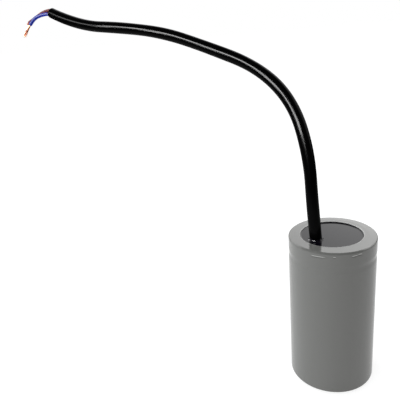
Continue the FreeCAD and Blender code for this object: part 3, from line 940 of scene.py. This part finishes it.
# Floor, light and camera
cable = [jacket, skirt, *core_skins]
white = rgb(1, 1, 1)
cool_white = (0.94, 0.98, 1.0)
floor_half = 6.0
floor_fade = (0.30, 0.8)        # the floor's own light and tone fade out between these distances
floor_seen = 0.72               # brightness that the camera sees under the object
floor_in_gloss = 0.48
floor_in_matt = 0.42
floor_near_tone = 0.42
floor_far_tone = 0.05
room_light = 0.68
# The room in reflections: two slants of a direction, and the room's strength at each
band_rise = (0.40, 0.60, 2.1, 2.6)
band_sides = (-0.2, 0.2, 0.78, 1.12)
band_foot = (0.08, 0.20, 0.06, 1.0)
band_head = (0.64, 0.80, 1.0, 0.06)
band_front = (-0.10, 0.10, 0.05, 1.0)
camera_place = (0.0, -0.26134, 0.21618)
camera_pitch, camera_yaw, camera_roll = 0.35851, -0.28849, -0.09439
camera_lens = 43.137


def make_floor():
    """White floor that keeps the object's shadow, and lets a camera under it see the base."""
    half = floor_half
    mesh = bpy.data.meshes.new("floor")
    corners = [(-half, -half, 0.0), (half, -half, 0.0), (half, half, 0.0), (-half, half, 0.0)]
    mesh.from_pydata(corners, [], [(0, 1, 2, 3)])
    material, tree = empty_material("white_floor")
    ray = add(tree, "ShaderNodeLightPath").outputs
    place = add(tree, "ShaderNodeTexCoord").outputs["Object"]
    near = ramp(tree, vector_calc(tree, "LENGTH", place), *floor_fade, 1.0, 0.0)
    seen = ramp(tree, near, 0.0, 1.0, 1.0, floor_seen)
    lit = times(tree, near, times(tree, ray["Is Glossy Ray"], floor_in_gloss))
    lit = plus(tree, lit, times(tree, ray["Is Diffuse Ray"], floor_in_matt))
    strength = choose(tree, ray["Is Camera Ray"], lit, seen)
    glow = add(tree, "ShaderNodeEmission", {"Color": white, "Strength": strength})
    tone = blend(tree, near, rgb(*[floor_far_tone] * 3), rgb(*[floor_near_tone] * 3))
    matt = add(tree, "ShaderNodeBsdfDiffuse", {"Color": tone})
    both = add(tree, "ShaderNodeAddShader", {0: glow.outputs[0], 1: matt.outputs[0]})
    clear = add(tree, "ShaderNodeBsdfTransparent")
    behind = add(tree, "ShaderNodeNewGeometry").outputs["Backfacing"]
    shown = add(tree, "ShaderNodeMixShader", {0: behind, 1: both.outputs[0], 2: clear.outputs[0]})
    add(tree, "ShaderNodeOutputMaterial", {"Surface": shown.outputs[0]})
    mesh.materials.append(material)
    floor = link(bpy.data.objects.new("floor", mesh))


def make_world():
    """White room, whose side towards the camera is dark in reflections."""
    world = bpy.data.worlds.new("white_room")
    world.use_nodes = True
    bpy.context.scene.world = world
    tree = world.node_tree
    tree.nodes.clear()
    way = add(tree, "ShaderNodeTexCoord").outputs["Generated"]
    way = add(tree, "ShaderNodeSeparateXYZ", {0: way}).outputs
    band = times(
        tree, ramp(tree, way["Z"], *band_rise), ramp(tree, way["X"], *band_sides),
        ramp(tree, way["Z"], *band_foot), ramp(tree, way["Z"], *band_head))
    reflected = times(tree, ramp(tree, way["Y"], *band_front), band)
    ray = add(tree, "ShaderNodeLightPath").outputs
    away = calc(tree, "MAXIMUM", ray["Is Glossy Ray"], ray["Is Transmission Ray"])
    strength = choose(tree, away, room_light, reflected)
    strength = choose(tree, ray["Is Camera Ray"], strength, 1.0)
    room = add(tree, "ShaderNodeBackground", {"Color": white, "Strength": strength})
    add(tree, "ShaderNodeOutputWorld", {"Surface": room.outputs[0]})


def make_lamp(name, place, aim, size, power, colour=(1.0, 1.0, 1.0), diffuse=True, glossy=True, only=()):
    """Soft lamp at a place, turned to its aim. It lights everything, or only some pieces."""
    lamp = bpy.data.lights.new(name, "AREA")
    lamp.shape = "RECTANGLE"
    lamp.size, lamp.size_y = size
    lamp.energy = power
    lamp.color = colour
    obj = link(bpy.data.objects.new(name, lamp))
    obj.location = place
    obj.rotation_mode = "QUATERNION"
    obj.rotation_quaternion = (Vector(aim) - Vector(place)).to_track_quat("-Z", "Y")
    obj.visible_camera = False
    obj.visible_diffuse = diffuse
    obj.visible_glossy = glossy
    if only:
        lit = bpy.data.collections.new(name + "_lit")
        for piece in only:
            lit.objects.link(piece)
        obj.light_linking.receiver_collection = lit


def make_camera():
    """Camera at the photograph's angle: turned a little to the left and down, and leaning."""
    pitch, yaw, roll = camera_pitch, camera_yaw, camera_roll
    ahead = Vector((math.sin(yaw) * math.cos(pitch), math.cos(yaw) * math.cos(pitch), -math.sin(pitch)))
    level = Vector((math.cos(yaw), -math.sin(yaw), 0.0))
    upright = level.cross(ahead)
    right = level * math.cos(roll) + upright * math.sin(roll)
    up = upright * math.cos(roll) - level * math.sin(roll)
    data = bpy.data.cameras.new("camera")
    data.lens = camera_lens
    data.sensor_width = 36.0
    data.clip_start = 0.01
    camera = link(bpy.data.objects.new("camera", data))
    turn = Matrix((right, up, -ahead)).transposed().to_4x4()
    camera.matrix_world = Matrix.Translation(camera_place) @ turn
    bpy.context.scene.camera = camera


make_floor()
make_world()
make_lamp("back_softbox", (0.45, 0.70, 1.05), (0.0, 0.0, 0.05), (0.7, 0.5), 2.0)
make_lamp(
    "left_back_softbox", (-1.1, 0.8, 0.4), (0.0, 0.0, 0.06), (1.0, 0.6), 11.0, cool_white, glossy=False)
make_lamp("left_softbox", (-1.4, -0.4, 0.3), (0.0, 0.0, 0.06), (1.0, 0.5), 10.5, cool_white, glossy=False)
make_lamp("left_strip", (-0.67, -1.05, 0.72), (-0.03, 0.0, 0.1), (0.8, 0.22), 4.5, glossy=False)
make_lamp(
    "skirt_left_lamp", (-0.75, 0.80, 0.50), (0.0, 0.0, 0.09), (0.35, 0.35), 2.6, diffuse=False, only=[skirt])
make_lamp(
    "highlight_strip", (-0.64, -1.01, 0.67), (-0.03, 0.0, 0.1), (0.9, 0.34), 125.0, diffuse=False,
    only=cable)
make_lamp(
    "far_highlight_strip", (-1.23, -0.6, 0.72), (-0.1, 0.03, 0.15), (0.55, 0.26), 12.0, diffuse=False,
    only=cable)
make_camera()
bpy.context.scene.view_settings.view_transform = "Standard"
